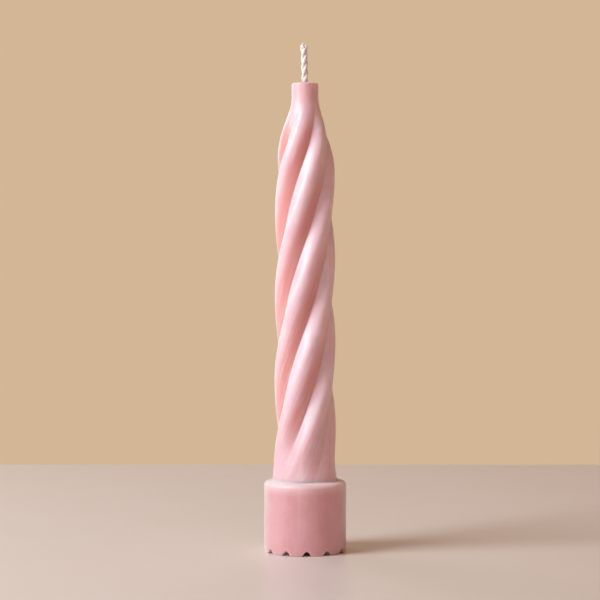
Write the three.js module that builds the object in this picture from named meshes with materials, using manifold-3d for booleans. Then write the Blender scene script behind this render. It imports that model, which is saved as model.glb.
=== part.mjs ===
// A twisted taper candle: a five-lobed wax shaft plugged into a round wax foot, with a plied cotton wick
// through both. Millimetres, +Z up. The origin is the centre of the foot's underside, and -Y faces the viewer.
import * as THREE from "three";
import { mergeVertices } from "three/addons/utils/BufferGeometryUtils.js";
import Module from "manifold-3d";

// Fits
const FIT_GAP = 0.3; // between pieces that sit in each other
const CUT_MARGIN = 1; // how far a cutter reaches past the face that it cuts

// Foot
const FOOT_RADIUS = 17.6;
const FOOT_HEIGHT = 30;
const FOOT_TOP_EDGE = 1.7; // rounding of the top edge
const FOOT_BOTTOM_EDGE = 0.4; // chamfer of the bottom edge
const RIM_WIDTH = 4.4; // the land that the candle stands on
const RECESS_DEPTH = 3; // hollow inside the rim
const RECESS_CORNER = 1.2;
const NOTCH_COUNT = 12;
const NOTCH_WIDTH = 4.2;
const NOTCH_HEIGHT = 1.9;
const NOTCH_TURN = 2.5; // degrees that the front notch sits off the front
const SOCKET_LEAD_IN = 0.6; // chamfer at the socket's mouth

// Shaft, measured up from its seat on the foot
const SHAFT_LENGTH = 170;
const BUTT_RADIUS = 10;
const BUTT_LENGTH = 14;
const BUTT_DRAFT = 0.4; // how much slimmer the butt is at its lower end
const BUTT_CHAMFER = 0.8;
const CREST_RADIUS_LOW = 13.3; // over the lobes' crests, above the flare
const CREST_RADIUS_HIGH = 12.75; // over the lobes' crests, under the shoulder
const FLARE_RADIUS = 14.1; // where the shaft spreads to meet the foot
const FLARE_HEIGHT = 13;
const SEAT_FILLET = 0.8; // wax that runs out onto the foot
const NECK_RADIUS = 5.75;
const NECK_LENGTH = 6;
const NECK_EDGE = 0.7;
const SHOULDER_LENGTH = 33.5;
const SHOULDER_CURL = 0.24; // share of the shoulder's length over which it leaves the neck's line
const SHOULDER_SWELL = 0.56; // share of the shoulder's length over which it meets the lobes' line
const MENISCUS_RADIUS = 2.6; // wax drawn up round the wick
const MENISCUS_HEIGHT = 0.6;

// Lobes
const LOBE_COUNT = 5;
const TWIST_PITCH = 181.3; // height of one full right-handed turn
const CREST_FORWARD_HEIGHT = 51.4; // height above the seat where a crest faces straight forward
const GROOVE_DEPTH = 3;
const GROOVE_LEAN = 8; // degrees that each groove lies off the middle between its two crests
const STEEP_CREASE = 0.45; // on each flank, 1 ends in a sharp crease and 0 in a rounded valley
const GENTLE_CREASE = 0.75;
const LOBE_FADE_IN = 26; // height below the neck over which the grooves reach their full depth
const LOBE_FADE_OUT = 24; // height above the seat over which they fill in
const LOBE_LEFT_AT_SEAT = 0.12; // share of the groove depth that is left at the seat

// Wick
const WICK_RADIUS = 1.4;
const WICK_PLIES = 3;
const WICK_LAY = 12.5; // height of one full turn of a ply
const WICK_EXPOSED = 17.3; // from the neck's top to the longest ply's tip
const WICK_LEAN = 0.3; // how far the tip leans to the left
const WICK_FRAY = 0.4; // how far the plies spread at the tip
const WICK_FRAY_LENGTH = 5;
const PLY_TRIMS = [2.1, 0, 1.4]; // how much lower than the longest ply each one is cut

// Facets
const STEEP_FLANK_POINTS = 5;
const GENTLE_FLANK_POINTS = 7;
const RING_STEP = 3.3;
const ROUND_POINTS = 72;
const BORE_POINTS = 16;
const PLY_SIDES = 6;
const PLY_STEPS_PER_TURN = 7;
const EDGE_POINTS = 4;

// Sizes that follow from the ones above
const SEAT_Z = FOOT_HEIGHT;
const TOP_Z = SEAT_Z + SHAFT_LENGTH;
const NECK_Z = TOP_Z - NECK_LENGTH;
const SHOULDER_Z = NECK_Z - SHOULDER_LENGTH;
const BUTT_Z = SEAT_Z - BUTT_LENGTH;
const BORE_RADIUS = WICK_RADIUS + FIT_GAP;
const LOBE_STEP = (2 * Math.PI) / LOBE_COUNT;
const STEEP_FLANK = LOBE_STEP / 2 - THREE.MathUtils.degToRad(GROOVE_LEAN);
const GENTLE_FLANK = LOBE_STEP / 2 + THREE.MathUtils.degToRad(GROOVE_LEAN);

const wasm = await Module();
wasm.setup();

// A closed mesh's geometry as a solid for joining and cutting.
function solidOf(geometry) {
  const bare = geometry.clone();
  bare.deleteAttribute("normal");
  bare.deleteAttribute("uv");
  const merged = mergeVertices(bare, 1e-4);
  return new wasm.Manifold(
    new wasm.Mesh({
      numProp: 3,
      vertProperties: merged.attributes.position.array,
      triVerts: new Uint32Array(merged.index.array),
    }),
  );
}

// A solid's surface as geometry.
function geometryOf(solid) {
  const mesh = solid.getMesh();
  const geometry = new THREE.BufferGeometry();
  geometry.setAttribute("position", new THREE.BufferAttribute(mesh.vertProperties, 3));
  geometry.setIndex(new THREE.BufferAttribute(mesh.triVerts, 1));
  return geometry;
}

// An outline of [radius, height] points turned round the Z axis.
function turned(outline, points) {
  const profile = outline.map(([radius, height]) => new THREE.Vector2(radius, height));
  return new THREE.LatheGeometry(profile, points).rotateX(Math.PI / 2);
}

// Points of a quarter round from one angle to another, both in degrees.
function quarterRound(centreRadius, centreHeight, radius, from, to) {
  return Array.from({ length: EDGE_POINTS + 1 }, (_, i) => {
    const angle = THREE.MathUtils.degToRad(from + ((to - from) * i) / EDGE_POINTS);
    return [centreRadius + radius * Math.cos(angle), centreHeight + radius * Math.sin(angle)];
  });
}

// A round cutter for the wick's bore, between two heights.
function boreCutter(low, high) {
  const length = high - low + 2 * CUT_MARGIN;
  const cutter = new THREE.CylinderGeometry(BORE_RADIUS, BORE_RADIUS, length, BORE_POINTS);
  return solidOf(cutter.rotateX(Math.PI / 2).translate(0, 0, (low + high) / 2));
}

// A lobe's section from one groove to just before the next: for each point its angle from the crest, and the
// share of the groove depth by which it stands out, from 0 in the groove to 1 on the crest.
function lobeSection() {
  const section = [];
  for (let i = -STEEP_FLANK_POINTS; i < GENTLE_FLANK_POINTS; i++) {
    const along = i < 0 ? -i / STEEP_FLANK_POINTS : i / GENTLE_FLANK_POINTS;
    const angle = i < 0 ? -along * STEEP_FLANK : along * GENTLE_FLANK;
    const creased = Math.cos((along * Math.PI) / 2);
    const rounded = (1 + Math.cos(along * Math.PI)) / 2;
    const crease = i < 0 ? STEEP_CREASE : GENTLE_CREASE;
    section.push({ angle, height: THREE.MathUtils.lerp(rounded, creased, crease) });
  }
  return section;
}

// Share of the full groove depth at a height: the lobes fade into the neck above and into the flare below.
function lobeStrength(z) {
  const fromNeck = THREE.MathUtils.smoothstep(NECK_Z - z, 0, LOBE_FADE_IN);
  const fromSeat = THREE.MathUtils.smoothstep(z - SEAT_Z, 0, LOBE_FADE_OUT);
  return fromNeck * THREE.MathUtils.lerp(LOBE_LEFT_AT_SEAT, 1, fromSeat);
}

// The lobed shaft's crest line as [radius, height] points, from the fillet on its seat to the neck.
function crestLine() {
  const filletTop = SEAT_Z + SEAT_FILLET;
  const line = quarterRound(FLARE_RADIUS + SEAT_FILLET, filletTop, SEAT_FILLET, 270, 180);
  const straight = SHOULDER_Z - filletTop;
  const steps = Math.round(straight / RING_STEP);
  for (let i = 1; i < steps; i++) {
    const rise = (straight * i) / steps;
    const radius = THREE.MathUtils.lerp(CREST_RADIUS_LOW, CREST_RADIUS_HIGH, rise / straight);
    const spread = Math.max(0, 1 - rise / FLARE_HEIGHT);
    line.push([radius + (FLARE_RADIUS - CREST_RADIUS_LOW) * spread ** 2, filletTop + rise]);
  }
  const ogee = new THREE.CubicBezierCurve(
    new THREE.Vector2(CREST_RADIUS_HIGH, SHOULDER_Z),
    new THREE.Vector2(CREST_RADIUS_HIGH, SHOULDER_Z + SHOULDER_LENGTH * SHOULDER_SWELL),
    new THREE.Vector2(NECK_RADIUS, NECK_Z - SHOULDER_LENGTH * SHOULDER_CURL),
    new THREE.Vector2(NECK_RADIUS, NECK_Z),
  );
  const ogeeSteps = Math.round(SHOULDER_LENGTH / RING_STEP);
  for (const point of ogee.getPoints(ogeeSteps)) line.push([point.x, point.y]);
  return line;
}

// One closed body through rings of equal point counts, with a flat end at each side.
function lofted(rings) {
  const count = rings[0].length;
  const positions = rings.flat().flatMap((point) => point.toArray());
  const index = [];
  for (let k = 0; k < rings.length - 1; k++) {
    for (let i = 0; i < count; i++) {
      const a = k * count + i;
      const b = k * count + ((i + 1) % count);
      index.push(a, b, b + count, a, b + count, a + count);
    }
  }
  const top = (rings.length - 1) * count;
  for (let i = 1; i < count - 1; i++) {
    index.push(0, i + 1, i);
    index.push(top, top + i, top + i + 1);
  }
  const geometry = new THREE.BufferGeometry();
  geometry.setAttribute("position", new THREE.Float32BufferAttribute(positions, 3));
  geometry.setIndex(index);
  return geometry;
}

// One ring of the shaft. The points turn with the twist, so the loft's edges follow the lobes. The plain butt
// and neck don't turn.
function shaftRing(crestRadius, z, strength) {
  const rise = THREE.MathUtils.clamp(z, SEAT_Z, NECK_Z) - SEAT_Z - CREST_FORWARD_HEIGHT;
  const turn = (2 * Math.PI * rise) / TWIST_PITCH - Math.PI / 2;
  const ring = [];
  for (let lobe = 0; lobe < LOBE_COUNT; lobe++) {
    for (const { angle, height } of lobeSection()) {
      const radius = crestRadius - GROOVE_DEPTH * strength * (1 - height);
      const around = turn + lobe * LOBE_STEP + angle;
      ring.push(new THREE.Vector3(radius * Math.cos(around), radius * Math.sin(around), z));
    }
  }
  return ring;
}

function makeShaft() {
  const butt = [
    [BUTT_RADIUS - BUTT_DRAFT - BUTT_CHAMFER, BUTT_Z],
    [BUTT_RADIUS - BUTT_DRAFT, BUTT_Z + BUTT_CHAMFER],
    [BUTT_RADIUS, SEAT_Z],
  ];
  const neckTop = [
    ...quarterRound(NECK_RADIUS - NECK_EDGE, TOP_Z - NECK_EDGE, NECK_EDGE, 0, 90),
    [MENISCUS_RADIUS, TOP_Z],
    [BORE_RADIUS + FIT_GAP, TOP_Z + MENISCUS_HEIGHT],
  ];
  const rings = [
    ...butt.map(([radius, z]) => shaftRing(radius, z, 0)),
    ...crestLine().map(([radius, z]) => shaftRing(radius, z, lobeStrength(z))),
    ...neckTop.map(([radius, z]) => shaftRing(radius, z, 0)),
  ];
  return geometryOf(solidOf(lofted(rings)).subtract(boreCutter(BUTT_Z, TOP_Z + MENISCUS_HEIGHT)));
}

// The bell-shaped arch of one notch, as a bar along the radius.
function notchCutter(turn) {
  const half = NOTCH_WIDTH / 2;
  const arch = new THREE.Shape();
  arch.moveTo(-half, -CUT_MARGIN);
  arch.lineTo(half, -CUT_MARGIN);
  arch.lineTo(half, 0);
  arch.bezierCurveTo(half * 0.62, NOTCH_HEIGHT * 0.3, half * 0.5, NOTCH_HEIGHT, 0, NOTCH_HEIGHT);
  arch.bezierCurveTo(-half * 0.5, NOTCH_HEIGHT, -half * 0.62, NOTCH_HEIGHT * 0.3, -half, 0);
  arch.closePath();
  const reach = RIM_WIDTH + 2 * CUT_MARGIN;
  const bar = new THREE.ExtrudeGeometry(arch, {
    depth: reach,
    bevelEnabled: false,
    curveSegments: EDGE_POINTS,
  });
  const inner = FOOT_RADIUS - RIM_WIDTH - CUT_MARGIN;
  bar.rotateX(Math.PI / 2).translate(0, -inner, 0).rotateZ(turn);
  return solidOf(bar);
}

function makeFoot() {
  const recessRadius = FOOT_RADIUS - RIM_WIDTH;
  const socketZ = BUTT_Z - FIT_GAP;
  const mouth = BUTT_RADIUS + FIT_GAP;
  const outline = [
    [BORE_RADIUS, RECESS_DEPTH],
    ...quarterRound(recessRadius - RECESS_CORNER, RECESS_DEPTH - RECESS_CORNER, RECESS_CORNER, 90, 0),
    [recessRadius, 0],
    [FOOT_RADIUS - FOOT_BOTTOM_EDGE, 0],
    [FOOT_RADIUS, FOOT_BOTTOM_EDGE],
    ...quarterRound(FOOT_RADIUS - FOOT_TOP_EDGE, SEAT_Z - FOOT_TOP_EDGE, FOOT_TOP_EDGE, 0, 90),
    [mouth + SOCKET_LEAD_IN, SEAT_Z],
    [mouth, SEAT_Z - SOCKET_LEAD_IN],
    [mouth - BUTT_DRAFT, socketZ],
    [BORE_RADIUS, socketZ],
    [BORE_RADIUS, RECESS_DEPTH],
  ];
  let foot = solidOf(turned(outline, ROUND_POINTS));
  for (let i = 0; i < NOTCH_COUNT; i++) {
    const turn = THREE.MathUtils.degToRad(NOTCH_TURN) + (2 * Math.PI * i) / NOTCH_COUNT;
    foot = foot.subtract(notchCutter(turn));
  }
  return geometryOf(foot);
}

// The centre line of one ply of the wick: a helix that opens out and leans a little above the neck.
class PlyLine extends THREE.Curve {
  constructor(ply, offset, top) {
    super();
    this.start = (2 * Math.PI * ply) / WICK_PLIES;
    this.offset = offset;
    this.top = top;
  }
  getPoint(t, target = new THREE.Vector3()) {
    const z = THREE.MathUtils.lerp(RECESS_DEPTH, this.top, t);
    const bare = Math.max(0, (z - TOP_Z) / WICK_EXPOSED);
    const tipZ = TOP_Z + WICK_EXPOSED;
    const spread = THREE.MathUtils.smoothstep(z, tipZ - WICK_FRAY_LENGTH, tipZ);
    const angle = this.start + (2 * Math.PI * z) / WICK_LAY;
    const radius = this.offset + WICK_FRAY * spread;
    return target.set(radius * Math.cos(angle) - WICK_LEAN * bare, radius * Math.sin(angle), z);
  }
}

// One ply, as thick as leaves the fit gap between neighbours inside the wick's round.
function makePly(ply) {
  const offsetShare = 1 / (2 * Math.sin(Math.PI / WICK_PLIES));
  const plyRadius = (WICK_RADIUS - FIT_GAP * offsetShare) / (1 + 2 * offsetShare);
  const offset = WICK_RADIUS - plyRadius;
  const corners = Array.from({ length: PLY_SIDES }, (_, i) => {
    const angle = (2 * Math.PI * i) / PLY_SIDES;
    return new THREE.Vector2(plyRadius * Math.cos(angle), plyRadius * Math.sin(angle));
  });
  const top = TOP_Z + WICK_EXPOSED - PLY_TRIMS[ply];
  return new THREE.ExtrudeGeometry(new THREE.Shape(corners), {
    steps: Math.round(((top - RECESS_DEPTH) / WICK_LAY) * PLY_STEPS_PER_TURN),
    extrudePath: new PlyLine(ply, offset, top),
    bevelEnabled: false,
  });
}

function namedMesh(name, geometry, material) {
  const mesh = new THREE.Mesh(geometry, material);
  mesh.name = name;
  return mesh;
}

const shaftWax = new THREE.MeshStandardMaterial({ color: "#e6a9ab", roughness: 0.42, metalness: 0 });
const footWax = new THREE.MeshStandardMaterial({ color: "#df9fa2", roughness: 0.5, metalness: 0 });

const candle = new THREE.Group();
candle.add(namedMesh("foot", makeFoot(), footWax));
candle.add(namedMesh("twisted_shaft", makeShaft(), shaftWax));
for (let ply = 0; ply < WICK_PLIES; ply++) {
  const cotton = new THREE.MeshStandardMaterial({ color: "#f3efe6", roughness: 0.9, metalness: 0 });
  candle.add(namedMesh(`wick_ply_${ply + 1}`, makePly(ply), cotton));
}

export default candle;
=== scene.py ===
"""Dresses a twisted taper candle: its lobed wax shaft, its notched wax foot and its plied cotton wick.

Each piece stands for the CAD solid of the same place and size, drawn finer. Sizes in the classes are in
millimetres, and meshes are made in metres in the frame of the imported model: +Z up along the candle's axis,
-Y towards the viewer.
"""

from __future__ import annotations

import logging
import math
from dataclasses import dataclass, field
from enum import Enum

import bpy
import numpy as np
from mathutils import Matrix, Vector

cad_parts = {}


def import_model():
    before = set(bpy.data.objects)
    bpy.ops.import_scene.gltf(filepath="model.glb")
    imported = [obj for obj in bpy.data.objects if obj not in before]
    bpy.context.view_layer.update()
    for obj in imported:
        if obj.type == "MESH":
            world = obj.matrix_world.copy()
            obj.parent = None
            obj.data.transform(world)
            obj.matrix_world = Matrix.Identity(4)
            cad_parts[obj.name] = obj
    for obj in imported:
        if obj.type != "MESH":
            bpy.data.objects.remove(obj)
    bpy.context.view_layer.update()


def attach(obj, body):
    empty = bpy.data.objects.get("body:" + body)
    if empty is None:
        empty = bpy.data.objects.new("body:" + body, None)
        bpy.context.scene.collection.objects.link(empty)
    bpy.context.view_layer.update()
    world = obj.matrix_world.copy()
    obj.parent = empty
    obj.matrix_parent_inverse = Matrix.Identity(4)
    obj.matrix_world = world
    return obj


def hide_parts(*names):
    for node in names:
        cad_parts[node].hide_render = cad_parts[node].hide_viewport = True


LOG = logging.getLogger("candle")
MM = 0.001
BODY = "root"
LOBES = 5
TWIST_PITCH_MM = 181.3  # height in which the lobes turn once
SMOOTH = {"interpolation_type": "SMOOTHSTEP"}
COLOURS = {"data_type": "RGBA"}  # a mix node for colours, whose sockets have these numbers:
FACTOR, FIRST, SECOND, MIXED = 0, 6, 7, 2

Tree = bpy.types.NodeTree
Socket = bpy.types.NodeSocket


class Lay(Enum):
    """Which way a strand winds, as the sign of its turn against its rise."""

    RIGHT_HANDED = 1
    LEFT_HANDED = -1


class WaxPart(Enum):
    """The two castings that the candle is put together from."""

    SHAFT = "twisted_shaft"
    FOOT = "foot"


# Colour, node and mesh helpers


def linear(hex_colour: str) -> tuple[float, float, float, float]:
    """Turns an sRGB hex colour to the linear colour that a shader takes.

    Args:
        hex_colour: Six hex digits after a hash.

    Returns:
        Red, green, blue and an alpha of 1.
    """
    channels = [int(hex_colour[i : i + 2], 16) / 255 for i in (1, 3, 5)]
    turned = [c / 12.92 if c <= 0.04045 else ((c + 0.055) / 1.055) ** 2.4 for c in channels]
    return (turned[0], turned[1], turned[2], 1.0)


def add_node(
    tree: Tree,
    kind: str,
    inputs: dict[str | int, object] | None = None,
    settings: dict[str, object] | None = None,
) -> bpy.types.Node:
    """Adds one node to a tree.

    Args:
        tree: The tree that gets it.
        kind: The node's type name.
        inputs: Sockets by name or number, each with a value or with the socket that feeds it.
        settings: Attributes of the node.

    Returns:
        The node.
    """
    node = tree.nodes.new(kind)
    for key, value in (settings or {}).items():
        setattr(node, key, value)
    for key, value in (inputs or {}).items():
        if isinstance(value, Socket):
            tree.links.new(value, node.inputs[key])
        else:
            node.inputs[key].default_value = value
    return node


def new_material(name: str) -> tuple[bpy.types.Material, Tree]:
    """Makes a material with an empty tree.

    Args:
        name: The material's name.

    Returns:
        The material and its tree.
    """
    material = bpy.data.materials.new(name)
    material.use_nodes = True
    material.node_tree.nodes.clear()
    return material, material.node_tree


def smooth_object(name: str, points_mm: np.ndarray, faces: list[list[int]]) -> bpy.types.Object:
    """Makes a smooth-shaded object and puts it into the scene.

    Args:
        name: The name of the object and of its mesh.
        points_mm: The mesh's points.
        faces: The points of each face by number, anticlockwise from outside.

    Returns:
        The object.
    """
    mesh = bpy.data.meshes.new(name)
    mesh.from_pydata((points_mm * MM).tolist(), [], faces)
    mesh.update()
    mesh.polygons.foreach_set("use_smooth", [True] * len(mesh.polygons))
    obj = bpy.data.objects.new(name, mesh)
    bpy.context.scene.collection.objects.link(obj)
    return obj


def ring_faces(rows: int, columns: int, first: int = 0, close_rows: bool = False) -> np.ndarray:
    """Quads over rows of points whose columns close on themselves.

    Args:
        rows: How many rings there are.
        columns: How many points each ring has.
        first: The index of the first point.
        close_rows: Whether the last ring joins the first.

    Returns:
        One row of four indices for each quad.
    """
    row = np.arange(rows if close_rows else rows - 1)[:, None]
    column = np.arange(columns)[None, :]
    following = (column + 1) % columns
    low, high = row * columns, (row + 1) % rows * columns
    corners = [low + column, low + following, high + following, high + column]
    return np.stack(corners, axis=-1).reshape(-1, 4) + first


def closed_shell(name: str, points_mm: np.ndarray) -> bpy.types.Object:
    """Makes a bored body from rings that close on themselves both ways.

    Args:
        name: The body's name.
        points_mm: Points by ring, by place round the ring and by axis.

    Returns:
        The object, with its faces outward.
    """
    rows, columns, _ = points_mm.shape
    faces = ring_faces(rows, columns, close_rows=True)
    return smooth_object(name, points_mm.reshape(-1, 3), faces.tolist())


def arc(
    centre: tuple[float, float], radius: float, start: float, end: float, steps: int
) -> list[tuple[float, float]]:
    """Points of a round edge in a profile.

    Args:
        centre: Radius and height of the arc's centre.
        radius: The arc's own radius.
        start: Its first angle in degrees, from outward towards up.
        end: Its last angle.
        steps: How many steps it takes.

    Returns:
        Radius and height of each point.
    """
    angles = np.radians(np.linspace(start, end, steps + 1))
    return [(centre[0] + radius * math.cos(a), centre[1] + radius * math.sin(a)) for a in angles]


def cubic(corners: tuple[float, ...], t: np.ndarray) -> np.ndarray:
    """A smooth curve from the first of four numbers to the last, drawn towards the two between.

    Args:
        corners: The four numbers.
        t: How far along the curve, from 0 to 1.

    Returns:
        The curve's number at each place.
    """
    weights = [(1 - t) ** 3, 3 * (1 - t) ** 2 * t, 3 * (1 - t) * t**2, t**3]
    return sum(weight * corner for weight, corner in zip(weights, corners))


def smooth_step(value: np.ndarray | float, low: float, high: float) -> np.ndarray:
    """Rises smoothly from 0 at low to 1 at high."""
    t = np.clip((np.asarray(value, dtype=float) - low) / (high - low), 0.0, 1.0)
    return t * t * (3 - 2 * t)


def unevenness(angle: np.ndarray, z: np.ndarray, wave_mm: float, seed: int) -> np.ndarray:
    """A slow, smooth waver over a round surface, as cast wax has.

    Args:
        angle: Angles round the axis in radians.
        z: Heights in millimetres.
        wave_mm: The mean wavelength along the axis.
        seed: Which waver it is.

    Returns:
        Values from about -1 to 1.
    """
    rng = np.random.default_rng(seed)
    waves, most_turns, highest = 7, 3, 4  # seven waves together seldom rise above four
    shortest, longest, latest = 0.7, 1.6, 7  # the first two against the mean wave, the last in radians
    total = np.zeros(np.broadcast(angle, z).shape)
    for _ in range(waves):
        turns = rng.integers(0, most_turns + 1)
        wave = wave_mm * rng.uniform(shortest, longest)
        total = total + np.sin(turns * angle + z * 2 * math.pi / wave + rng.uniform(0, latest))
    return total / highest


# Finishes


@dataclass(frozen=True)
class LobeTwist:
    """Where the lobes stand that a finish follows, and where its painted shade lies on their long slopes."""

    groove_deg: float  # angle of a groove at height 0
    ends_mm: tuple[float, float]  # the painted shade on the slopes fades out towards these heights
    fade_mm: float
    lobes: int = LOBES
    pitch_mm: float = TWIST_PITCH_MM
    painted_shade_from: float = 0.45  # share of the way from one groove to the next at which the painted shade begins; the next, where it is full
    painted_shade_to: float = 0.8


@dataclass(frozen=True)
class HeightTint:
    """Heights between which the colour changes by a share towards another colour."""

    from_mm: float
    to_mm: float
    share: float  # how far the colour has changed at the second height
    hex_colour: str


@dataclass(frozen=True)
class PinkWaxFinish:
    """Pink dyed paraffin cast in a smooth mould.

    The wax lets light in for a few millimetres and gives it back redder, so edges glow and shaded flanks turn
    a deeper rose. Its skin has the satin gloss of the mould. A pale bloom lies on it in streaks, drawn along
    the lobes as the casting was turned out of its mould, and there are a few tiny air pits. Each lobe's long
    slope down to the next groove is painted a richer rose, a painted shade for the flank that turns from the
    light.
    """

    name: str
    twist: LobeTwist | None = None  # None on a plain round casting
    zones: tuple[HeightTint, ...] = ()
    painted_shade_hex: str = "#e79f9c"  # painted shade: a richer rose on a lobe's long slope
    deep_hex: str = "#f1ccd6"
    pale_hex: str = "#f6d8e0"
    cloud_mm: float = 8.0  # soft clouds of dye
    cloud_limits: tuple[float, float] = (0.35, 0.65)  # noise values at the deepest and the palest dye
    bloom_hex: str = "#fbeef1"
    bloom_cover: float = 0.38
    bloom_relief: float = 0.9  # height of a streak against the grain's
    bloom_fade_mm: tuple[float, float] = (75.0, 150.0)  # between these heights the streaks grow faint
    bloom_left: float = 0.3  # what is left of them above
    streak_mm: float = 0.8  # across a streak
    streak_stretch: float = 22.0  # how much longer a streak is than wide
    streak_limits: tuple[float, float] = (0.44, 0.7)  # noise values where a streak begins and is full
    grain_mm: float = 0.35
    grain_depth_mm: float = 0.014
    pit_spacing_mm: float = 3.2
    pit_depth_mm: float = 0.03
    pit_wall: tuple[float, float] = (0.02, 0.09)  # where a pit's wall begins and ends, against its spacing
    roughness: float = 0.32
    smoother: float = 0.04  # change of the roughness between the streaks
    rougher: float = 0.08  # change of the roughness on them
    skin_gloss: float = 0.5
    skin_roughness: float = 0.36
    haze: float = 0.6  # powdery film that catches light along the outline
    haze_roughness: float = 0.5
    light_path_mm: tuple[float, float, float] = (3.2, 1.9, 1.8)
    refraction: float = 1.44  # paraffin

    def build(self) -> bpy.types.Material:
        """Makes the material.

        Returns:
            The material.
        """
        material, tree = new_material(self.name)
        place = add_node(tree, "ShaderNodeTexCoord").outputs["Object"]
        straight = self._untwisted(tree, place)
        streaks = self._streaks(tree, straight)
        wax = {
            "Base Color": self._dye(tree, place, straight, streaks),
            "Roughness": self._satin(tree, streaks),
            "IOR": self.refraction,
            "Subsurface Weight": 1.0,
            "Subsurface Radius": self.light_path_mm,
            "Subsurface Scale": MM,
            "Coat Weight": self.skin_gloss,
            "Coat Roughness": self.skin_roughness,
            "Coat IOR": self.refraction,
            "Sheen Weight": self.haze,
            "Sheen Roughness": self.haze_roughness,
            "Normal": self._skin(tree, place, streaks),
        }
        shader = add_node(tree, "ShaderNodeBsdfPrincipled", wax)
        add_node(tree, "ShaderNodeOutputMaterial", {"Surface": shader.outputs["BSDF"]})
        return material

    def _untwisted(self, tree: Tree, place: Socket) -> Socket:
        """Adds coordinates that turn with the lobes, so that a crest keeps the same angle at each height.

        Args:
            tree: The material's tree.
            place: Object coordinates.

        Returns:
            The coordinates, or the object's own on a plain round casting.
        """
        if self.twist is None:
            return place
        height = add_node(tree, "ShaderNodeSeparateXYZ", {"Vector": place}).outputs["Z"]
        turn_per_metre = -2 * math.pi / (self.twist.pitch_mm * MM)
        turn = add_node(tree, "ShaderNodeMath", {0: height, 1: turn_per_metre}, {"operation": "MULTIPLY"})
        turning = {"Vector": place, "Angle": turn.outputs["Value"]}
        turned = add_node(tree, "ShaderNodeVectorRotate", turning, {"rotation_type": "Z_AXIS"})
        return turned.outputs["Vector"]

    def _streaks(self, tree: Tree, straight: Socket) -> Socket:
        """Adds fine streaks that follow the lobes.

        Args:
            tree: The material's tree.
            straight: Coordinates that turn with the lobes.

        Returns:
            Values from 0 to 1, high on a streak.
        """
        stretch = {"Vector": straight, "Scale": (1.0, 1.0, 1 / self.streak_stretch)}
        drawn = add_node(tree, "ShaderNodeMapping", stretch)
        pattern = {
            "Vector": drawn.outputs["Vector"],
            "Scale": 1 / (self.streak_mm * MM),
            "Detail": 3.0,
            "Roughness": 0.6,
        }
        noise = add_node(tree, "ShaderNodeTexNoise", pattern)
        begins, full = self.streak_limits
        limits = {"Value": noise.outputs["Fac"], "From Min": begins, "From Max": full}
        spread = add_node(tree, "ShaderNodeMapRange", limits, SMOOTH)
        height = add_node(tree, "ShaderNodeSeparateXYZ", {"Vector": straight}).outputs["Z"]
        low, high = self.bloom_fade_mm
        fade = {
            "Value": height,
            "From Min": low * MM,
            "From Max": high * MM,
            "To Min": 1.0,
            "To Max": self.bloom_left,
        }
        left = add_node(tree, "ShaderNodeMapRange", fade, SMOOTH)
        both = {0: spread.outputs["Result"], 1: left.outputs["Result"]}
        return add_node(tree, "ShaderNodeMath", both, {"operation": "MULTIPLY"}).outputs["Value"]

    def _painted_slope_shade(self, tree: Tree, straight: Socket) -> Socket:
        """Adds the painted shade on each lobe, from 0 on its crest to 1 at the foot of its long slope.

        Args:
            tree: The material's tree.
            straight: Coordinates that turn with the lobes.

        Returns:
            The share.
        """
        twist = self.twist
        sides = add_node(tree, "ShaderNodeSeparateXYZ", {"Vector": straight})
        across = {0: sides.outputs["Y"], 1: sides.outputs["X"]}
        angle = add_node(tree, "ShaderNodeMath", across, {"operation": "ARCTAN2"}).outputs["Value"]
        turned = {0: angle, 1: twist.lobes / (2 * math.pi), 2: -twist.lobes * twist.groove_deg / 360}
        count = add_node(tree, "ShaderNodeMath", turned, {"operation": "MULTIPLY_ADD"}).outputs["Value"]
        past = add_node(tree, "ShaderNodeMath", {0: count}, {"operation": "FRACT"}).outputs["Value"]
        slope = {"Value": past, "From Min": twist.painted_shade_from, "From Max": twist.painted_shade_to}
        faded = add_node(tree, "ShaderNodeMapRange", slope, SMOOTH).outputs["Result"]
        for end, inward in zip(twist.ends_mm, (1, -1)):
            fade = {
                "Value": sides.outputs["Z"],
                "From Min": end * MM,
                "From Max": (end + inward * twist.fade_mm) * MM,
                "To Max": faded,
            }
            faded = add_node(tree, "ShaderNodeMapRange", fade, SMOOTH).outputs["Result"]
        return faded

    def _dye(self, tree: Tree, place: Socket, straight: Socket, streaks: Socket) -> Socket:
        """Adds the wax's colour: soft clouds of dye, painted shade on the lobes' slopes and tints by height,
        under the pale bloom.

        Args:
            tree: The material's tree.
            place: Object coordinates.
            straight: Coordinates that turn with the lobes.
            streaks: The bloom's streaks.

        Returns:
            The colour for the shader.
        """
        pattern = {"Vector": place, "Scale": 1 / (self.cloud_mm * MM), "Detail": 3.0, "Roughness": 0.55}
        clouds = add_node(tree, "ShaderNodeTexNoise", pattern)
        deepest, palest = self.cloud_limits
        limits = {"Value": clouds.outputs["Fac"], "From Min": deepest, "From Max": palest}
        layers = [(add_node(tree, "ShaderNodeMapRange", limits).outputs["Result"], self.pale_hex)]
        if self.twist is not None:
            # painted shade: a richer rose on each lobe's long slope, the flank that turns from the light
            layers.append((self._painted_slope_shade(tree, straight), self.painted_shade_hex))
        height = add_node(tree, "ShaderNodeSeparateXYZ", {"Vector": place}).outputs["Z"]
        for zone in self.zones:
            low, high = zone.from_mm * MM, zone.to_mm * MM
            rise = {"Value": height, "From Min": low, "From Max": high, "To Max": zone.share}
            changed = add_node(tree, "ShaderNodeMapRange", rise, SMOOTH)
            layers.append((changed.outputs["Result"], zone.hex_colour))
        cover = add_node(tree, "ShaderNodeMath", {0: streaks, 1: self.bloom_cover}, {"operation": "MULTIPLY"})
        layers.append((cover.outputs["Value"], self.bloom_hex))
        dye = linear(self.deep_hex)
        for share, hex_colour in layers:
            layer = {FACTOR: share, FIRST: dye, SECOND: linear(hex_colour)}
            dye = add_node(tree, "ShaderNodeMix", layer, COLOURS).outputs[MIXED]
        return dye

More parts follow.
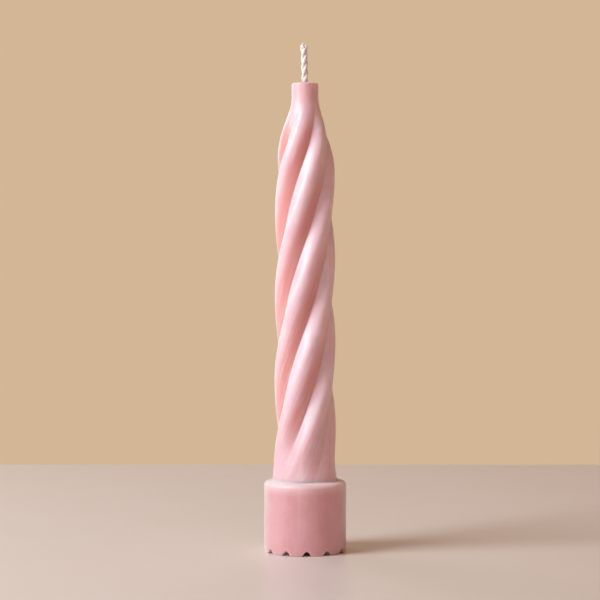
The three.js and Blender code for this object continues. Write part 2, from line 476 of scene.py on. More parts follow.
    def _satin(self, tree: Tree, streaks: Socket) -> Socket:
        """Adds the roughness, which the bloom raises a little.

        Args:
            tree: The material's tree.
            streaks: The bloom's streaks.

        Returns:
            The roughness for the shader.
        """
        change = {
            "Value": streaks,
            "To Min": self.roughness - self.smoother,
            "To Max": self.roughness + self.rougher,
        }
        return add_node(tree, "ShaderNodeMapRange", change).outputs["Result"]

    def _skin(self, tree: Tree, place: Socket, streaks: Socket) -> Socket:
        """Adds the bump of the mould's grain, the streaks and a few air pits.

        Args:
            tree: The material's tree.
            place: Object coordinates.
            streaks: The bloom's streaks.

        Returns:
            The normal for the shader.
        """
        pattern = {"Vector": place, "Scale": 1 / (self.grain_mm * MM), "Detail": 2.0}
        grain = add_node(tree, "ShaderNodeTexNoise", pattern)
        spacing = {"Vector": place, "Scale": 1 / (self.pit_spacing_mm * MM)}
        cells = add_node(tree, "ShaderNodeTexVoronoi", spacing)
        begins, ends = self.pit_wall
        wall = {"Value": cells.outputs["Distance"], "From Min": begins, "From Max": ends}
        pits = add_node(tree, "ShaderNodeMapRange", wall, SMOOTH)
        relief = {0: streaks, 1: self.bloom_relief, 2: grain.outputs["Fac"]}
        height = add_node(tree, "ShaderNodeMath", relief, {"operation": "MULTIPLY_ADD"})
        fine = {"Height": height.outputs["Value"], "Distance": self.grain_depth_mm * MM, "Strength": 0.8}
        grained = add_node(tree, "ShaderNodeBump", fine)
        deep = {
            "Height": pits.outputs["Result"],
            "Distance": self.pit_depth_mm * MM,
            "Strength": 0.7,
            "Normal": grained.outputs["Normal"],
        }
        return add_node(tree, "ShaderNodeBump", deep).outputs["Normal"]


@dataclass(frozen=True)
class CottonFinish:
    """Undyed cotton thread, spun and plied. The fibres give it a soft, chalky white with fine grey gaps."""

    name: str = "undyed_cotton_plied"
    thread_hex: str = "#fdfcfa"
    shade_hex: str = "#f3f0eb"
    soaked_hex: str = "#f0dbd8"
    soaked_from_mm: float = 200.4  # wax has crept up the wick to here
    soaked_to_mm: float = 202.2
    fibre_mm: float = 0.12  # a cotton fibre is 0.02 mm thick, and is drawn coarser so that it shows
    fibre_depth_mm: float = 0.03
    fibre_stretch: float = 4.0
    roughness: float = 0.85
    down: float = 0.6  # loose fibre ends, which catch light along the outline
    refraction: float = 1.5  # cellulose

    def build(self) -> bpy.types.Material:
        """Makes the material.

        Returns:
            The material.
        """
        material, tree = new_material(self.name)
        place = add_node(tree, "ShaderNodeTexCoord").outputs["Object"]
        stretch = {"Vector": place, "Scale": (1.0, 1.0, 1 / self.fibre_stretch)}
        along = add_node(tree, "ShaderNodeMapping", stretch)
        pattern = {"Vector": along.outputs["Vector"], "Scale": 1 / (self.fibre_mm * MM), "Detail": 3.0}
        fibres = add_node(tree, "ShaderNodeTexNoise", pattern).outputs["Fac"]
        height = add_node(tree, "ShaderNodeSeparateXYZ", {"Vector": place}).outputs["Z"]
        creep = {"Value": height, "From Min": self.soaked_from_mm * MM, "From Max": self.soaked_to_mm * MM}
        dry = add_node(tree, "ShaderNodeMapRange", creep).outputs["Result"]
        layers = {FACTOR: fibres, FIRST: linear(self.shade_hex), SECOND: linear(self.thread_hex)}
        thread = add_node(tree, "ShaderNodeMix", layers, COLOURS).outputs[MIXED]
        layers = {FACTOR: dry, FIRST: linear(self.soaked_hex), SECOND: thread}
        colour = add_node(tree, "ShaderNodeMix", layers, COLOURS).outputs[MIXED]
        relief = {"Height": fibres, "Distance": self.fibre_depth_mm * MM, "Strength": 0.8}
        bump = add_node(tree, "ShaderNodeBump", relief)
        cotton = {
            "Base Color": colour,
            "Roughness": self.roughness,
            "IOR": self.refraction,
            "Sheen Weight": self.down,
            "Sheen Roughness": 0.5,
            "Normal": bump.outputs["Normal"],
        }
        shader = add_node(tree, "ShaderNodeBsdfPrincipled", cotton)
        add_node(tree, "ShaderNodeOutputMaterial", {"Surface": shader.outputs["BSDF"]})
        return material


@dataclass(frozen=True)
class StoneFinish:
    """Honed pale stone under the candle: plain, with a low sheen that mirrors what stands on it softly."""

    name: str = "honed_pale_stone"
    base_hex: str = "#e9e2dd"
    vein_hex: str = "#e2d9d2"
    cloud_mm: float = 60.0
    roughness: float = 0.36
    refraction: float = 1.5  # limestone

    def build(self) -> bpy.types.Material:
        """Makes the material.

        Returns:
            The material.
        """
        material, tree = new_material(self.name)
        place = add_node(tree, "ShaderNodeTexCoord").outputs["Object"]
        pattern = {"Vector": place, "Scale": 1 / (self.cloud_mm * MM), "Detail": 4.0, "Roughness": 0.6}
        clouds = add_node(tree, "ShaderNodeTexNoise", pattern).outputs["Fac"]
        layers = {FACTOR: clouds, FIRST: linear(self.vein_hex), SECOND: linear(self.base_hex)}
        colour = add_node(tree, "ShaderNodeMix", layers, COLOURS).outputs[MIXED]
        stone = {"Base Color": colour, "Roughness": self.roughness, "IOR": self.refraction}
        shader = add_node(tree, "ShaderNodeBsdfPrincipled", stone)
        add_node(tree, "ShaderNodeOutputMaterial", {"Surface": shader.outputs["BSDF"]})
        return material


# The candle's pieces


@dataclass(frozen=True)
class TwistedShaft:
    """The lobed wax shaft, from its butt inside the foot to the round neck that the wick comes out of."""

    seat_z: float = 30.0
    top_z: float = 200.0
    butt_z: float = 16.0
    butt_radius: float = 10.0
    butt_draft: float = 0.4
    butt_chamfer: float = 0.8
    bore_radius: float = 1.3
    bore_edge: float = 0.3
    bore_rings: tuple[float, float] = (2.0, 40.0)  # how far below the top
    crest_low: float = 13.3
    crest_high: float = 12.75
    flare_radius: float = 14.1
    flare_height: float = 13.0
    seat_overlap: float = 6.0  # the flare goes on this far inside the foot
    overlap_edge: float = 0.5
    neck_radius: float = 5.75
    neck_length: float = 6.0
    neck_edge: float = 0.7
    neck_step: float = 0.5
    shoulder_length: float = 33.5
    shoulder_curl: float = 0.24
    shoulder_swell: float = 0.56
    meniscus_radius: float = 2.6
    meniscus_height: float = 0.6
    meniscus_rings: int = 10
    lobes: int = LOBES
    pitch: float = TWIST_PITCH_MM
    crest_forward: float = 51.4  # height above the seat at which a crest faces the viewer
    groove_depth: float = 3.0
    groove_lean_deg: float = 8.0
    steep_crease: float = 0.45
    gentle_crease: float = 0.75
    fade_in: float = 26.0
    fade_out: float = 24.0
    left_at_seat: float = 0.12
    waver: float = 0.05
    waver_wave: float = 34.0
    waver_from: float = 4.0  # height above the seat at which the waver is full
    waver_seed: int = 4
    ring_step: float = 0.45
    points_per_lobe: int = 44
    finish: PinkWaxFinish = field(
        default_factory=lambda: PinkWaxFinish(
            name="cast_pink_wax_shaft",
            twist=LobeTwist(groove_deg=8.4, ends_mm=(42.0, 192.0), fade_mm=16.0),
            zones=(
                HeightTint(from_mm=64.0, to_mm=42.0, share=0.35, hex_colour="#dd9fa8"),
                HeightTint(from_mm=182.0, to_mm=197.0, share=0.3, hex_colour="#eaa5a1"),
            ),
        )
    )

    def lobe_section(self) -> tuple[np.ndarray, np.ndarray]:
        """The section of one lobe, from a groove to just before the next.

        Returns:
            Angles from the crest in radians, and by what share of the groove depth each point stands out.
        """
        half = math.pi / self.lobes
        lean = math.radians(self.groove_lean_deg)
        steep, gentle = half - lean, half + lean
        angle = -steep + (steep + gentle) * np.arange(self.points_per_lobe) / self.points_per_lobe
        along = np.where(angle < 0, -angle / steep, angle / gentle) * math.pi
        crease = np.where(angle < 0, self.steep_crease, self.gentle_crease)
        return angle, crease * np.cos(along / 2) + (1 - crease) * (1 + np.cos(along)) / 2

    def crest_line(self) -> np.ndarray:
        """The outline over the crests, from the seat to the neck's foot.

        Returns:
            Radius and height of each ring.
        """
        neck_z = self.top_z - self.neck_length
        shoulder_z = neck_z - self.shoulder_length
        z = np.arange(self.seat_z, shoulder_z, self.ring_step)
        rise = z - self.seat_z
        radius = self.crest_low + (self.crest_high - self.crest_low) * rise / (shoulder_z - self.seat_z)
        spread = np.clip(1 - rise / self.flare_height, 0, 1)
        radius = radius + (self.flare_radius - self.crest_low) * spread**2
        t = np.linspace(0, 1, round(self.shoulder_length / self.ring_step))
        swell_z = shoulder_z + self.shoulder_length * self.shoulder_swell
        curl_z = neck_z - self.shoulder_length * self.shoulder_curl
        ogee_r = cubic((self.crest_high, self.crest_high, self.neck_radius, self.neck_radius), t)
        ogee_z = cubic((shoulder_z, swell_z, curl_z, neck_z), t)
        return np.stack([np.append(radius, ogee_r), np.append(z, ogee_z)], axis=1)

    def strength(self, z: np.ndarray) -> np.ndarray:
        """How deep the grooves are.

        Args:
            z: Heights.

        Returns:
            The share of the full groove depth at each.
        """
        below_neck = smooth_step(self.top_z - self.neck_length - z, 0, self.fade_in)
        above_seat = smooth_step(z - self.seat_z, 0, self.fade_out)
        return below_neck * (self.left_at_seat + (1 - self.left_at_seat) * above_seat)

    def profile(self) -> tuple[np.ndarray, np.ndarray]:
        """The body's whole outline, from the bore's lower mouth round the outside and back down the bore.

        Returns:
            Radius and height of each ring, and the share of the lobes that it carries.
        """
        overlap_z = self.seat_z - self.seat_overlap
        butt = [
            (self.bore_radius + self.bore_edge, self.butt_z),
            (self.butt_radius / 2, self.butt_z),
            (self.butt_radius - self.butt_draft - self.butt_chamfer, self.butt_z),
            (self.butt_radius - self.butt_draft, self.butt_z + self.butt_chamfer),
            (self.butt_radius, overlap_z),
        ]
        overlap = [
            (self.flare_radius - self.overlap_edge, overlap_z),
            (self.flare_radius, overlap_z + self.overlap_edge),
            (self.flare_radius, self.seat_z - self.overlap_edge),
        ]
        lobed = self.crest_line()
        neck_from, neck_to = self.top_z - self.neck_length + self.neck_step, self.top_z - self.neck_edge
        neck = [(self.neck_radius, z) for z in np.arange(neck_from, neck_to, self.neck_step)]
        edge = arc((self.neck_radius - self.neck_edge, self.top_z - self.neck_edge), self.neck_edge, 0, 90, 8)
        inward = self.bore_radius - self.meniscus_radius
        meniscus = [
            (self.meniscus_radius + inward * t, self.top_z + self.meniscus_height * t**2)
            for t in np.linspace(0, 1, self.meniscus_rings)
        ]
        bore_top = [self.top_z - below for below in self.bore_rings]
        bore = [(self.bore_radius, z) for z in (*bore_top, self.seat_z, self.butt_z + self.bore_edge)]
        rings = np.array([*butt, *overlap, *lobed, *neck, *edge, *meniscus, *bore])
        carried = np.zeros(len(rings))
        lobed_from = len(butt) + len(overlap)
        carried[len(butt) : lobed_from] = self.left_at_seat
        carried[lobed_from : lobed_from + len(lobed)] = self.strength(lobed[:, 1])
        return rings, carried

    def seat_sag(self, around: np.ndarray) -> np.ndarray:
        """How far the shaft's section stands inside its flare at the seat.

        Args:
            around: Angles round the axis in radians.

        Returns:
            Millimetres inward at each.
        """
        section_angle, section_height = self.lobe_section()
        step = 2 * math.pi / self.lobes
        crest = -2 * math.pi * self.crest_forward / self.pitch - math.pi / 2
        past_groove = (around - crest - section_angle[0]) % step
        height = np.interp(past_groove, section_angle - section_angle[0], section_height, period=step)
        return self.groove_depth * self.left_at_seat * (1 - height)

    def build(self) -> bpy.types.Object:
        """Makes the shaft and dresses it.

        Returns:
            The shaft's object.
        """
        rings, carried = self.profile()
        section_angle, section_height = self.lobe_section()
        step = 2 * math.pi / self.lobes
        across = np.concatenate([section_angle + lobe * step for lobe in range(self.lobes)])
        height = np.tile(section_height, self.lobes)
        twisted_z = np.clip(rings[:, 1:2], self.seat_z, self.top_z - self.neck_length)
        rise = twisted_z - self.seat_z - self.crest_forward
        around = 2 * math.pi * rise / self.pitch - math.pi / 2 + across[None, :]
        z = rings[:, 1:2] + 0 * around
        radius = rings[:, 0:1] - self.groove_depth * carried[:, None] * (1 - height[None, :])
        outside = smooth_step(rings[:, 0:1], self.meniscus_radius, self.neck_radius)
        above = smooth_step(z, self.seat_z, self.seat_z + self.waver_from)
        uneven = unevenness(around, z, self.waver_wave, self.waver_seed)
        radius = radius + self.waver * outside * above * uneven
        points = np.stack([radius * np.cos(around), radius * np.sin(around), z], axis=-1)
        obj = closed_shell("shaft_wax_body", points)
        obj.data.materials.append(self.finish.build())
        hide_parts(WaxPart.SHAFT.value)
        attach(obj, BODY)
        return obj


@dataclass(frozen=True)
class NotchedFoot:
    """The round wax foot: a socket above, and below a shallow recess inside a rim that small arches cut."""

    radius: float = 17.6
    height: float = 30.0
    top_edge: float = 1.7
    bottom_edge: float = 0.4
    side_rings: int = 44
    side_gather: float = 1.25  # they stand closer together low down, where the notches lift them
    rim_width: float = 4.4
    recess_depth: float = 3.0
    recess_corner: float = 0.9
    recess_rings: tuple[float, float, float] = (2.5, 5.0, 9.0)
    notches: int = 12
    notch_width: float = 4.2
    notch_height: float = 1.9
    notch_turn_deg: float = 2.5
    notch_margin: float = 0.25  # the fine columns go on this far past a notch
    notch_columns: int = 29
    tooth_columns: int = 9
    bell_across: tuple[float, ...] = (1.0, 0.62, 0.5, 0.0)  # a notch's arch, against half its width
    bell_rise: tuple[float, ...] = (0.0, 0.3, 1.0, 1.0)  # and against its height
    bell_steps: int = 200
    socket_radius: float = 10.3
    socket_draft: float = 0.4
    socket_z: float = 15.7
    socket_lead_in: float = 0.6
    bore_radius: float = 1.45
    bore_edge: float = 0.3
    bore_lead_in: float = 1.0
    inner_edge: float = 0.25
    seat_fillet: float = 1.0  # wax that has run out round the shaft
    collar_inset: tuple[float, float] = (1.0, 1.6)  # foot and top of a collar hidden inside the flare
    collar_height: float = 1.0  # it keeps light from leaking out of a thin wedge of wax
    waver: float = 0.03
    waver_wave: float = 22.0
    waver_rise: tuple[float, float] = (2.0, 8.0)  # heights between which the waver grows
    waver_fade: float = 26.0  # height from which it fades
    waver_edge: float = 0.5  # how far inside the radius it is full
    waver_seed: int = 9
    shaft: TwistedShaft = field(default_factory=TwistedShaft)
    finish: PinkWaxFinish = field(
        default_factory=lambda: PinkWaxFinish(
            name="cast_pink_wax_foot",
            # painted light: the top of the foot's side turns paler, where light comes in through its top edge
            zones=(HeightTint(from_mm=24.5, to_mm=29.5, share=0.5, hex_colour="#fbeef1"),),
            deep_hex="#dda2a9",
            pale_hex="#e4aeb4",
            bloom_cover=0.1,
            bloom_relief=0.1,
            roughness=0.4,
            haze=1.0,
        )
    )

    def arch(self, offset: np.ndarray) -> np.ndarray:
        """A notch's bell-shaped arch.

        Args:
            offset: Distances from the notch's middle.

        Returns:
            The arch's height at each.
        """
        t = np.linspace(0, 1, self.bell_steps)
        across = cubic(tuple(self.notch_width / 2 * share for share in self.bell_across), t)
        rise = cubic(tuple(self.notch_height * share for share in self.bell_rise), t)
        return np.interp(np.abs(offset), across[::-1], rise[::-1], right=0.0)

    def columns(self) -> np.ndarray:
        """Places round one notch's sector.

        Returns:
            Numbers that stay within 1 over the notch, and go from 1 to 2 over the teeth beside it.
        """
        over_notch = np.linspace(-1, 1, self.notch_columns)
        over_tooth = np.linspace(1, 2, self.tooth_columns)[1:]
        return np.concatenate([-over_tooth[::-1][1:], over_notch, over_tooth])

    def profile(self) -> np.ndarray:
        """The outline from the wick hole's lower mouth round the outside and back down the socket.

        Returns:
            For each ring its radius, its height with no notch, and the share of the arch that lifts it.
        """
        inside = self.radius - self.rim_width
        wall_top = self.recess_depth - self.recess_corner
        corner = arc((inside - self.recess_corner, wall_top), self.recess_corner, 90, 0, 6)
        low_wall = np.linspace(wall_top, self.inner_edge, 8)[1:-1]
        inner = arc((inside + self.inner_edge, self.inner_edge), self.inner_edge, 180, 270, 5)
        land = np.linspace(inside + self.inner_edge, self.radius - self.bottom_edge, 12)[1:-1]
        outer = arc((self.radius - self.bottom_edge, self.bottom_edge), self.bottom_edge, 270, 360, 6)
        side_top = self.height - self.top_edge
        side_share = np.linspace(0, 1, self.side_rings)[1:-1] ** self.side_gather
        side = self.bottom_edge + (side_top - self.bottom_edge) * side_share
        shoulder = arc((self.radius - self.top_edge, side_top), self.top_edge, 0, 90, 12)
        flare, mouth = self.shaft.flare_radius, self.socket_radius
        fillet_z = self.height + self.seat_fillet
        run_out = arc((flare + self.seat_fillet, fillet_z), self.seat_fillet, 270, 180, 10)
        collar_foot, collar_top = self.collar_inset
        socket = [
            (flare - collar_foot, fillet_z),
            (flare - collar_top, fillet_z + self.collar_height),
            (mouth + self.socket_lead_in, fillet_z + self.collar_height),
            (mouth + self.socket_lead_in, self.height),
            (mouth, self.height - self.socket_lead_in),
            (mouth - self.socket_draft, self.socket_z),
            (self.bore_radius + self.bore_lead_in, self.socket_z),
            (self.bore_radius, self.socket_z - self.bore_edge),
            (self.bore_radius, self.recess_depth + self.bore_edge),
        ]
        return np.array(
            [
                *[(r, self.recess_depth, 0.0) for r in (self.bore_radius, *self.recess_rings)],
                *[(r, z, 0.0) for r, z in corner],
                *[(inside, z, 1 - (z - self.inner_edge) / (wall_top - self.inner_edge)) for z in low_wall],
                *[(r, z, 1.0) for r, z in inner],
                *[(r, 0.0, 1.0) for r in land],
                *[(r, z, 1.0) for r, z in outer],
                *[(self.radius, z, 1 - (z - self.bottom_edge) / (side_top - self.bottom_edge)) for z in side],
                *[(r, z, 0.0) for r, z in (*shoulder, *run_out, *socket)],
            ]
        )

    def build(self) -> bpy.types.Object:
        """Makes the foot and dresses it.

        Returns:
            The foot's object.
        """
        rings = self.profile()
        place = np.tile(self.columns(), self.notches)
        sector = np.repeat(np.arange(self.notches), len(self.columns())) * 2 * math.pi / self.notches
        reach = self.notch_width / 2 + self.notch_margin
        rim_radius = np.clip(rings[:, 0:1], self.radius - self.rim_width, self.radius)
        edge = np.arcsin(reach / rim_radius)
        within = np.clip(np.abs(place), 0, 1)[None, :] * edge
        beyond = np.clip(np.abs(place) - 1, 0, 1)[None, :] * (math.pi / self.notches - edge)
        offset = np.sign(place)[None, :] * (within + beyond)
        lift = self.arch(rim_radius * np.sin(offset)) * rings[:, 2:3]
        around = offset + sector[None, :] + math.radians(self.notch_turn_deg) - math.pi / 2
        z = rings[:, 1:2] + lift
        outside = smooth_step(rings[:, 0:1], self.radius - self.rim_width, self.radius - self.waver_edge)
        mid = smooth_step(z, *self.waver_rise) * (1 - smooth_step(z, self.waver_fade, self.height))
        uneven = np.clip(1 + unevenness(around, z, self.waver_wave, self.waver_seed), 0, None)
        radius = rings[:, 0:1] - self.waver * uneven * outside * mid
        run_out = smooth_step(z, self.height, self.height + self.seat_fillet / 2)
        radius = radius - run_out * self.shaft.seat_sag(around)
        points = np.stack([radius * np.cos(around), radius * np.sin(around), z], axis=-1)
        obj = closed_shell("foot_wax_body", points)
        obj.data.materials.append(self.finish.build())
        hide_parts(WaxPart.FOOT.value)
        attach(obj, BODY)
        return obj


@dataclass(frozen=True)
class PliedWick:
    """The cotton wick: plies laid up right-handed, each of threads wound the other way round a soft core."""

    radius: float = 1.4
    ply_squash: float = 0.55  # how far soft neighbours press into each other
    plies: int = 3
    lay: float = 12.5
    bottom_z: float = 3.0
    top_z: float = 217.3
    neck_z: float = 200.0
    lean: float = 0.5
    fray: float = 0.25
    fray_length: float = 5.0
    trims: tuple[float, float, float] = (1.5, 0.0, 1.2)  # how far below the top each ply is cut
    tip_ply: int = 1  # its threads cling together in a point
    cling: float = 0.85
    threads: int = 9
    thread_lay: float = 6.5
    thread_share: float = 0.3  # a thread's radius against its ply's
    thread_sides: int = 7
    thread_trim: tuple[float, float] = (0.0, 0.55)
    thread_opens: tuple[float, float] = (-0.05, 0.2)  # outward at the cut
    opening_length: float = 2.2
    core_share: float = 0.8
    core_trim: tuple[float, float] = (0.25, 0.7)
    end_thins: float = 0.5
    end_length: tuple[float, float] = (0.6, 0.1)  # below and above the cut
    slub: float = 0.05  # spun thread is thick and thin by turns
    slub_turn: float = 5.1  # radians in a millimetre
    bare_margin: float = 4.0  # the fine steps begin this far inside the neck
    buried_step: float = 0.8
    bare_step: float = 0.22
    hairs_per_ply: int = 24
    hairs_near_tip: float = 0.6
    hair_roots: tuple[float, float] = (2.0, 4.0)  # from this far above the neck to this far below the top
    tip_hair_roots: tuple[float, float] = (4.0, 2.5)  # below the top
    hair_length: tuple[float, float] = (0.7, 1.7)
    hair_bend: float = 0.5
    hair_root: float = 0.8  # against the ply's radius
    hair_outward: float = 0.45
    hair_upward: tuple[float, float] = (0.9, 0.3)  # its rise, and how much it droops
    hair_radius: float = 0.03
    hair_points: int = 7
    hair_sides: int = 4
    tuft_per_ply: int = 22  # loose ends that fill the cut tip
    tuft_root: tuple[float, float] = (3.2, 5.0)  # below the top
    tuft_tip: tuple[float, float] = (0.9, 2.0)  # below the top
    tuft_reach: float = 1.75
    tuft_bow: float = 1.3
    tuft_radius: float = 0.26
    tuft_points: int = 12
    first_seed: int = 20
    finish: CottonFinish = field(default_factory=CottonFinish)

    def ply_radius(self) -> float:
        """A ply's own radius, as pressed against its neighbours."""
        share = 1 / (2 * math.sin(math.pi / self.plies))
        return (self.radius + self.ply_squash * share) / (1 + 2 * share)

    def ply_centre(self, ply: int, z: np.ndarray) -> np.ndarray:
        """The centre line of a ply.

        Args:
            ply: Which ply it is.
            z: Heights.

        Returns:
            The line's point at each height.
        """
        bare = np.clip((z - self.neck_z) / (self.top_z - self.neck_z), 0, None)
        spread = smooth_step(z, self.top_z - self.fray_length, self.top_z)
        angle = 2 * math.pi * (ply / self.plies + z / self.lay) * Lay.RIGHT_HANDED.value
        offset = self.radius - self.ply_radius() + self.fray * spread
        return np.stack([offset * np.cos(angle) - self.lean * bare, offset * np.sin(angle), z], axis=-1)

    def thread_line(self, ply: int, thread: int, rng: np.random.Generator) -> tuple[np.ndarray, np.ndarray]:
        """The centre line of one thread and its radius along it.

        Args:
            ply: Which ply it is in.
            thread: Which thread of the ply it is. Number 0 is the soft core.
            rng: Source of the small differences between threads.

        Returns:
            Points, and one radius for each.
        """
        core = thread == 0
        tip = self.top_z - self.trims[ply] - rng.uniform(*(self.core_trim if core else self.thread_trim))
        bare_from = self.neck_z - self.bare_margin
        buried = np.arange(self.bottom_z, bare_from, self.buried_step)
        z = np.append(buried, np.linspace(bare_from, tip, round((tip - bare_from) / self.bare_step)))
        share = self.core_share if core else self.thread_share
        offset = 0.0 if core else self.ply_radius() * (1 - self.thread_share)
        angle = 2 * math.pi * (thread / self.threads + z / self.thread_lay * Lay.LEFT_HANDED.value)
        outward = -self.cling * offset if ply == self.tip_ply else rng.uniform(*self.thread_opens)
        opened = smooth_step(z, tip - self.opening_length, tip) * outward
        line = self.ply_centre(ply, z)
        line[:, 0] += (offset + opened) * np.cos(angle)
        line[:, 1] += (offset + opened) * np.sin(angle)
        below, above = self.end_length
        thinned = self.end_thins * smooth_step(z, tip - below, tip + above)
        width = self.ply_radius() * share * (1 - thinned)
        width = width * (1 + self.slub * np.sin(z * self.slub_turn + thread * 2.0 + ply))
        return line, width

    def hair_line(self, ply: int, rng: np.random.Generator) -> tuple[np.ndarray, np.ndarray]:
        """The centre line of one stray fibre that stands off a ply, and its radius along it.

        Args:
            ply: Which ply it is on.
            rng: Source of its place, length and bend.

        Returns:
            Points, and one radius for each.
        """
        if rng.random() < self.hairs_near_tip:
            low, high = (self.top_z - below for below in self.tip_hair_roots)
        else:
            low, high = self.neck_z + self.hair_roots[0], self.top_z - self.hair_roots[1]
        root_z = rng.uniform(low, high)
        centre = self.ply_centre(ply, np.array([root_z]))[0]
        direction = rng.uniform(0, 2 * math.pi)
        away = np.array([math.cos(direction), math.sin(direction), 0.0])
        up = np.array([0.0, 0.0, 1.0])
        length = rng.uniform(*self.hair_length)
        t = np.linspace(0, 1, self.hair_points)[:, None]
        bend = rng.uniform(-self.hair_bend, self.hair_bend)
        rise, droop = self.hair_upward
        line = centre + away * (self.ply_radius() * self.hair_root + length * self.hair_outward * t)
        line = line + up * length * (rise * t - droop * t**2) + np.cross(up, away) * bend * t**2 / 2
        return line, np.full(self.hair_points, self.hair_radius)

    def tuft_line(self, ply: int, rng: np.random.Generator) -> tuple[np.ndarray, np.ndarray]:
        """The centre line of one loose thread end at the cut tip, and its radius along it.

        Args:
            ply: Which ply it comes from.
            rng: Source of its height, direction and reach.

        Returns:
            Points, and one radius for each.
        """
        root_z = self.top_z - rng.uniform(*self.tuft_root)
        tip_z = self.top_z - rng.uniform(*self.tuft_tip)
        roots = [self.ply_centre(neighbour, np.array([root_z]))[0] for neighbour in (ply, ply + 1)]
        root = (roots[0] + roots[1]) / 2
        direction = rng.uniform(0, 2 * math.pi)
        reach = self.tuft_reach * math.sqrt(rng.random())
        t = np.linspace(0, 1, self.tuft_points)[:, None]
        away = np.array([math.cos(direction), math.sin(direction), 0.0])
        line = root + away * reach * t**self.tuft_bow + np.array([0.0, 0.0, tip_z - root_z]) * t
        return line, self.tuft_radius * (1 - self.end_thins * t[:, 0] ** 2)

    def tube(self, line: np.ndarray, width: np.ndarray, sides: int) -> tuple[np.ndarray, np.ndarray]:
        """Points and centre points of a tube along a line.

        Args:
            line: The line's points.
            width: The tube's radius at each.
            sides: How many sides it has.

        Returns:
            The rings' points in order, and the two end points.
        """
        along = np.gradient(line, axis=0)
        along = along / np.linalg.norm(along, axis=1, keepdims=True)
        across = np.cross(along, np.array([0.0, 1.0, 0.0]))
        across = across / np.linalg.norm(across, axis=1, keepdims=True)
        other = np.cross(along, across)
        angle = (2 * math.pi * np.arange(sides) / sides)[None, :, None]
        ring = across[:, None, :] * np.cos(angle) + other[:, None, :] * np.sin(angle)
        return (line[:, None, :] + ring * width[:, None, None]).reshape(-1, 3), line[[0, -1]]

    def build_ply(self, ply: int, material: bpy.types.Material) -> bpy.types.Object:
        """Makes one ply from its threads and stray fibres.

        Args:
            ply: Which ply it is.
            material: The cotton.

        Returns:
            The ply's object.
        """
        rng = np.random.default_rng(self.first_seed + ply)
        threads = range(self.threads + 1)
        tubes = [(*self.thread_line(ply, thread, rng), self.thread_sides) for thread in threads]
        tubes += [(*self.tuft_line(ply, rng), self.thread_sides) for _ in range(self.tuft_per_ply)]
        tubes += [(*self.hair_line(ply, rng), self.hair_sides) for _ in range(self.hairs_per_ply)]
        points: list[np.ndarray] = []
        faces: list[list[int]] = []
        first = 0
        for line, width, sides in tubes:
            rings, ends = self.tube(line, width, sides)
            points += [rings, ends]
            last_ring = first + (len(line) - 1) * sides
            low, high = first + len(rings), first + len(rings) + 1
            faces += ring_faces(len(line), sides, first).tolist()
            for side in range(sides):
                following = (side + 1) % sides
                faces.append([first + following, first + side, low])
                faces.append([last_ring + side, last_ring + following, high])
            first += len(rings) + len(ends)
        obj = smooth_object(f"wick_ply_{ply + 1}_threads", np.concatenate(points), faces)
        obj.data.materials.append(material)
        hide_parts(f"wick_ply_{ply + 1}")
        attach(obj, BODY)
        return obj

    def build(self) -> list[bpy.types.Object]:
        """Makes all the plies."""
        material = self.finish.build()
        return [self.build_ply(ply, material) for ply in range(self.plies)]


# The room round the candle


@dataclass(frozen=True)
class Lamp:
    """A plain rectangular area lamp that points at the candle."""

    name: str
    azimuth_deg: float  # from the viewer towards the right
    elevation_deg: float
    size_m: tuple[float, float]
    watts: float
    colour_hex: str = "#ffffff"
    distance_m: float = 1.2
    aim_z_m: float = 0.1
    spread_deg: float = 180.0  # how wide its light fans out, narrow behind a honeycomb grid

    def build(self) -> bpy.types.Object:
        """Makes the lamp and puts it into the scene.

        Returns:
            The lamp's object.
        """
        azimuth, elevation = math.radians(self.azimuth_deg), math.radians(self.elevation_deg)
        level = math.cos(elevation)
        away = Vector((math.sin(azimuth) * level, -math.cos(azimuth) * level, math.sin(elevation)))
        data = bpy.data.lights.new(self.name, "AREA")
        data.shape = "RECTANGLE"
        data.size, data.size_y = self.size_m
        data.spread = math.radians(self.spread_deg)
        data.energy = self.watts
        data.color = linear(self.colour_hex)[:3]
        lamp = bpy.data.objects.new(self.name, data)
        bpy.context.scene.collection.objects.link(lamp)
        lamp.location = away * self.distance_m + Vector((0, 0, self.aim_z_m))
        lamp.rotation_euler = away.to_track_quat("Z", "Y").to_euler()
        return lamp


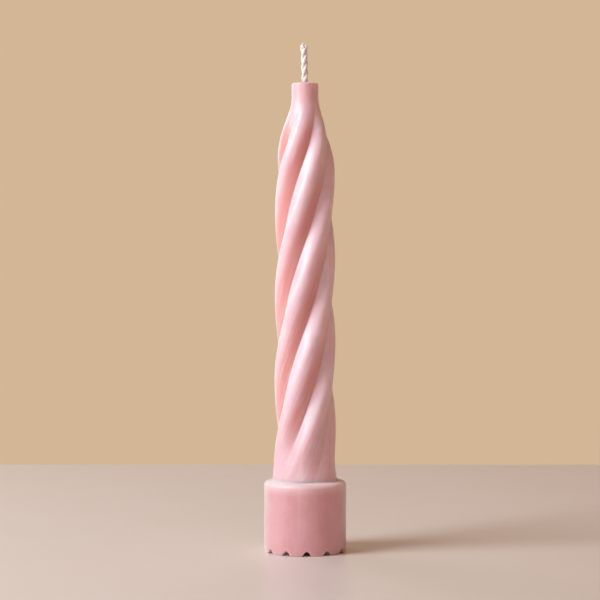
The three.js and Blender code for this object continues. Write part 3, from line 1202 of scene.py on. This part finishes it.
@dataclass(frozen=True)
class Studio:
    """The pale table, the plain backdrop, the lamps and the camera."""

    table_back_m: float = 0.333
    table_front_m: float = -1.6
    table_half_width_m: float = 1.6
    table_z_m: float = -0.00003  # a hair below the foot, so that no two faces share a plane
    backdrop_hex: str = "#d3b696"
    room_hex: str = "#ffb48c"
    room_level: float = 0.17
    sensor_mm: float = 36.0
    lens_mm: float = 109.5
    nearest_m: float = 0.01
    camera_place_m: tuple[float, float, float] = (-0.00214, -0.781, 0.12326)
    camera_tilt_deg: float = 1.16
    stone: StoneFinish = field(default_factory=StoneFinish)
    lamps: tuple[Lamp, ...] = (
        Lamp(
            "window_key",
            azimuth_deg=-64,
            elevation_deg=34,
            size_m=(0.6, 1.0),
            watts=16.2,
            colour_hex="#f3f9ff",
        ),
        Lamp("back_window", azimuth_deg=-140, elevation_deg=25, size_m=(0.6, 1.0), watts=3.0),
        Lamp(
            "warm_bounce",
            azimuth_deg=80,
            elevation_deg=26,
            size_m=(0.8, 0.7),
            watts=1.1,
            colour_hex="#ffa888",
        ),
        Lamp(
            "gridded_strip",
            azimuth_deg=-12,
            elevation_deg=4,
            size_m=(0.16, 0.2),
            watts=0.012,
            distance_m=0.8,
            spread_deg=8,
        ),
    )

    def build_table(self) -> bpy.types.Object:
        """Makes the table top that the candle stands on.

        Returns:
            The table's object.
        """
        half, z = self.table_half_width_m, self.table_z_m
        back, front = self.table_back_m, self.table_front_m
        corners = [(-half, front, z), (half, front, z), (half, back, z), (-half, back, z)]
        mesh = bpy.data.meshes.new("table_top")
        mesh.from_pydata(corners, [], [(0, 1, 2, 3)])
        table = bpy.data.objects.new("table_top", mesh)
        bpy.context.scene.collection.objects.link(table)
        mesh.materials.append(self.stone.build())
        return table

    def build_room(self) -> bpy.types.World:
        """Makes the world: a plain backdrop to the camera and in reflections, a soft warm room to the rest.

        Returns:
            The world.
        """
        world = bpy.data.worlds.new("warm_room")
        bpy.context.scene.world = world
        world.use_nodes = True
        tree = world.node_tree
        tree.nodes.clear()
        path = add_node(tree, "ShaderNodeLightPath").outputs
        room_light = {"Color": linear(self.room_hex), "Strength": self.room_level}
        room = add_node(tree, "ShaderNodeBackground", room_light)
        plain = {"Color": linear(self.backdrop_hex), "Strength": 1.0}
        backdrop = add_node(tree, "ShaderNodeBackground", plain)
        either = {"operation": "MAXIMUM"}
        mirrors = {0: path["Is Glossy Ray"], 1: path["Is Transmission Ray"]}
        mirrored = add_node(tree, "ShaderNodeMath", mirrors, either)
        sights = {0: path["Is Camera Ray"], 1: mirrored.outputs["Value"]}
        seen = add_node(tree, "ShaderNodeMath", sights, either)
        sides = {0: seen.outputs["Value"], 1: room.outputs["Background"], 2: backdrop.outputs["Background"]}
        mixed = add_node(tree, "ShaderNodeMixShader", sides)
        add_node(tree, "ShaderNodeOutputWorld", {"Surface": mixed.outputs["Shader"]})
        return world

    def build_camera(self) -> bpy.types.Object:
        """Makes the camera at the photograph's place and angle.

        Returns:
            The camera's object.
        """
        data = bpy.data.cameras.new("photo_camera")
        data.sensor_width = self.sensor_mm
        data.lens = self.lens_mm
        data.clip_start = self.nearest_m
        camera = bpy.data.objects.new("photo_camera", data)
        bpy.context.scene.collection.objects.link(camera)
        camera.location = self.camera_place_m
        camera.rotation_euler = (math.radians(90 - self.camera_tilt_deg), 0, 0)
        bpy.context.scene.camera = camera
        return camera

    def build(self) -> None:
        """Makes the camera, the table, the room and the lamps."""
        self.build_camera()
        self.build_table()
        self.build_room()
        for lamp in self.lamps:
            lamp.build()
        bpy.context.scene.view_settings.view_transform = "Standard"


def main() -> None:
    """Builds the scene in order."""
    logging.basicConfig(level=logging.INFO, format="%(name)s: %(message)s")
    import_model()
    Studio().build()
    LOG.info("room, table, lamps and camera made")
    foot = NotchedFoot().build()
    LOG.info("%s: %d faces", foot.name, len(foot.data.polygons))
    shaft = TwistedShaft().build()
    LOG.info("%s: %d faces", shaft.name, len(shaft.data.polygons))
    for ply in PliedWick().build():
        LOG.info("%s: %d faces", ply.name, len(ply.data.polygons))


if __name__ == "__main__":
    main()
